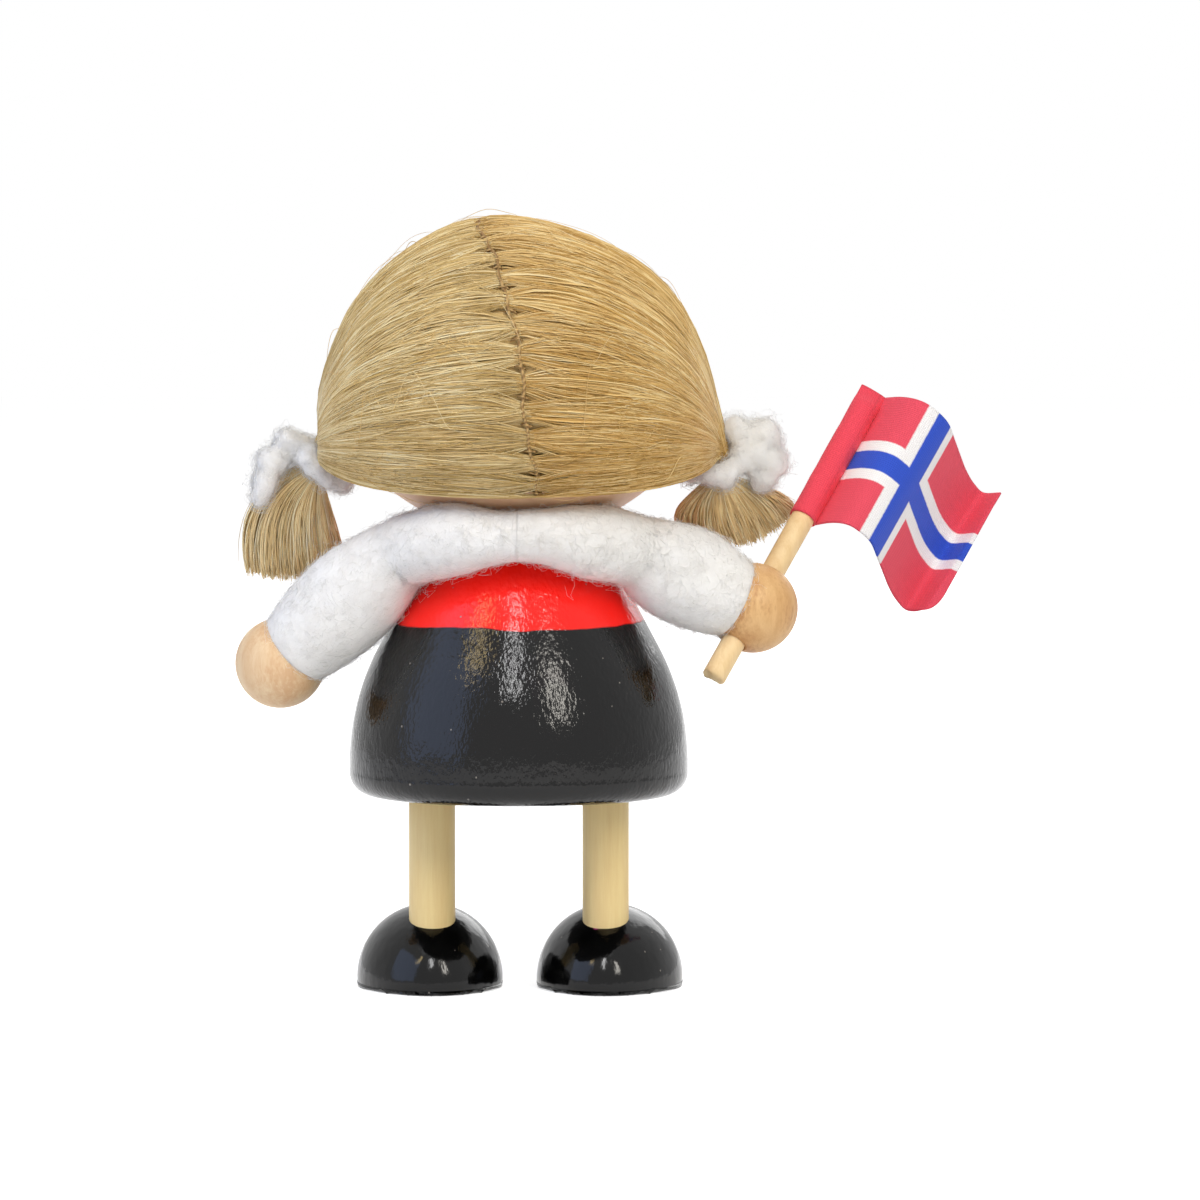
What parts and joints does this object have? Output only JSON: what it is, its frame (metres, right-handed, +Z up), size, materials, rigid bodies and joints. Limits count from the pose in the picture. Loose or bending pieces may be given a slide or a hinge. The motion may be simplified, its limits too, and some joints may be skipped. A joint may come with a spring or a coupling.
{
  "type": "peg wooden doll",
  "caption": "Turned wooden peg doll in red and black with sewn flax hair in pigtails, felt sleeves over a bendable wire and a flag that turns in its hand.",
  "frame": {"origin": "middle of the whole doll's box, on the surface that the soles rest on", "axes": "+Z up, the doll faces -Y, its left hand is at +X and its right hand, with the flag, at -X"},
  "size_m": [0.1022, 0.0528, 0.1041],
  "materials": {
    "body_paint": "gloss",
    "head_wood": "satin",
    "bead_wood": "satin",
    "dowel_wood": "satin",
    "shoe_paint": "gloss",
    "felt": "matte",
    "flax": "satin",
    "thread": "matte",
    "yarn": "matte",
    "wire": "satin",
    "flag_cloth": "matte"
  },
  "bodies": {
    "torso": {"body": "body_paint", "head": "head_wood", "neck_peg": "dowel_wood", "nose": "bead_wood", "leg_left": "dowel_wood", "leg_right": "dowel_wood", "shoe_left": "shoe_paint", "shoe_right": "shoe_paint", "arm_wire": "wire", "sleeve_back": "felt", "hair_cap": "flax", "parting_thread": "thread", "pigtail_left": "flax", "pigtail_right": "flax", "hair_tie_left": "yarn", "hair_tie_right": "yarn"},
    "arm_left": {"sleeve_left": "felt", "hand_left": "bead_wood"},
    "arm_right": {"sleeve_right": "felt", "hand_right": "bead_wood"},
    "flag": {"flag_stick": "dowel_wood", "flag": "flag_cloth"}
  },
  "joints": [
    {"name": "left_arm_bend", "type": "hinge", "parent": "torso", "child": "arm_left", "pos_m": [0.02905, 0.00719, 0.059], "axis": [0, -1, 0], "range_deg": [0, 25], "deforming": ["arm_wire"]},
    {"name": "right_arm_bend", "type": "hinge", "parent": "torso", "child": "arm_right", "pos_m": [-0.00216, 0.00719, 0.059], "axis": [0, 1, 0], "range_deg": [-12, 6], "deforming": ["arm_wire"]},
    {"name": "flag_turn", "type": "hinge", "parent": "arm_right", "child": "flag", "pos_m": [-0.01767, 0.00256, 0.05143], "axis": [-0.4536, -0.454, 0.7669], "range_deg": [-90, 90]}
  ]
}
